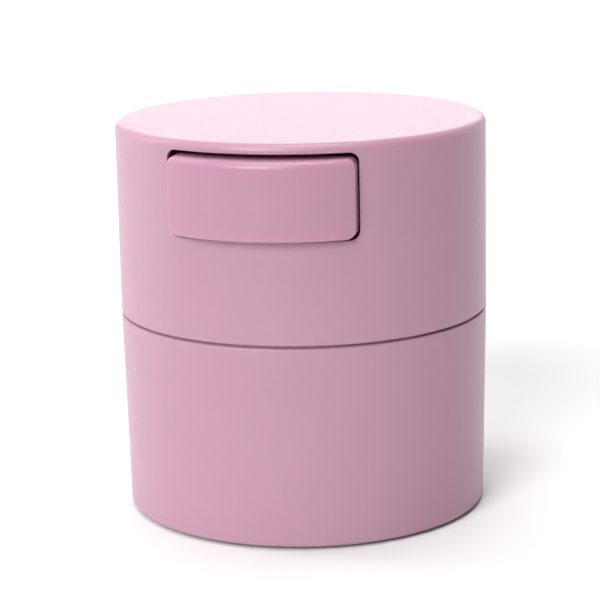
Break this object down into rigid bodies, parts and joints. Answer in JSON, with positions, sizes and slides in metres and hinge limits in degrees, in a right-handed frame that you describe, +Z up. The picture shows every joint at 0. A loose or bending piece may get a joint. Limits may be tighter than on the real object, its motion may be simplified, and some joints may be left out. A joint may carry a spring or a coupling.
{
  "type": "pill splitter",
  "caption": "Round pink pill splitter: hinged lid with a blade and sprung guard, push-button latch, vee pill holder and a storage base with a turn cap.",
  "frame": {"origin": "on the table under the middle of the round body, at the centre of the resting face", "axes": "+Z up, -Y towards the push button, +Y towards the hinge, +X to the right seen from the button"},
  "size_m": [0.06, 0.0676, 0.064],
  "materials": {
    "pink_plastic": "satin moulded polypropylene, pink",
    "button_plastic": "satin moulded polypropylene, pink",
    "deck_plastic": "fine matte off-white plastic",
    "holder_plastic": "smooth white plastic",
    "clamp_plastic": "light grey acetal",
    "guard_plastic": "pale grey acetal",
    "foot_rubber": "soft grey thermoplastic rubber",
    "grip_rubber": "soft grey thermoplastic rubber, fine ribs",
    "screw_steel": "bright zinc plated steel",
    "pin_steel": "drawn stainless steel",
    "blade_steel": "ground stainless steel",
    "spring_steel": "drawn spring wire"
  },
  "bodies": {
    "base": {"base_shell": "pink_plastic", "foot_ring": "foot_rubber", "deck": "deck_plastic", "deck_screws": "screw_steel", "pill_holder": "holder_plastic", "grip_left": "grip_rubber", "grip_right": "grip_rubber", "holder_screws": "screw_steel", "hinge_pin": "pin_steel"},
    "bottom_cap": {"storage_cap": "deck_plastic", "cap_seal": "foot_rubber"},
    "lid": {"lid_shell": "pink_plastic", "lid_liner": "deck_plastic", "liner_screws": "screw_steel", "blade": "blade_steel", "blade_clamp": "clamp_plastic", "clamp_screws": "screw_steel", "button_guide": "pink_plastic", "guide_screws": "screw_steel", "button_spring_left": "spring_steel", "button_spring_right": "spring_steel", "guard_spring_front": "spring_steel", "guard_spring_back": "spring_steel"},
    "button": {"push_button": "button_plastic", "latch_slider": "button_plastic", "button_screws": "screw_steel"},
    "guard": {"blade_guard": "guard_plastic", "guard_screws": "screw_steel"}
  },
  "joints": [
    {"name": "lid_hinge", "type": "hinge", "parent": "base", "child": "lid", "pos_m": [0, 0.033, 0.0327], "axis": [-1, 0, 0], "range_deg": [0, 100]},
    {"name": "button_press", "type": "slide", "parent": "lid", "child": "button", "axis": [0, 1, 0], "range_m": [0, 0.002], "stiffness_N_per_m": 600, "springref_m": -0.0015, "deforming": ["button_spring_left", "button_spring_right"]},
    {"name": "guard_slide", "type": "slide", "parent": "lid", "child": "guard", "axis": [0, 0, 1], "range_m": [0, 0.007], "stiffness_N_per_m": 60, "springref_m": -0.004, "deforming": ["guard_spring_front", "guard_spring_back"]},
    {"name": "cap_turn", "type": "hinge", "parent": "base", "child": "bottom_cap", "pos_m": [0, 0, 0.002], "axis": [0, 0, 1], "range_deg": [0, 60]}
  ]
}
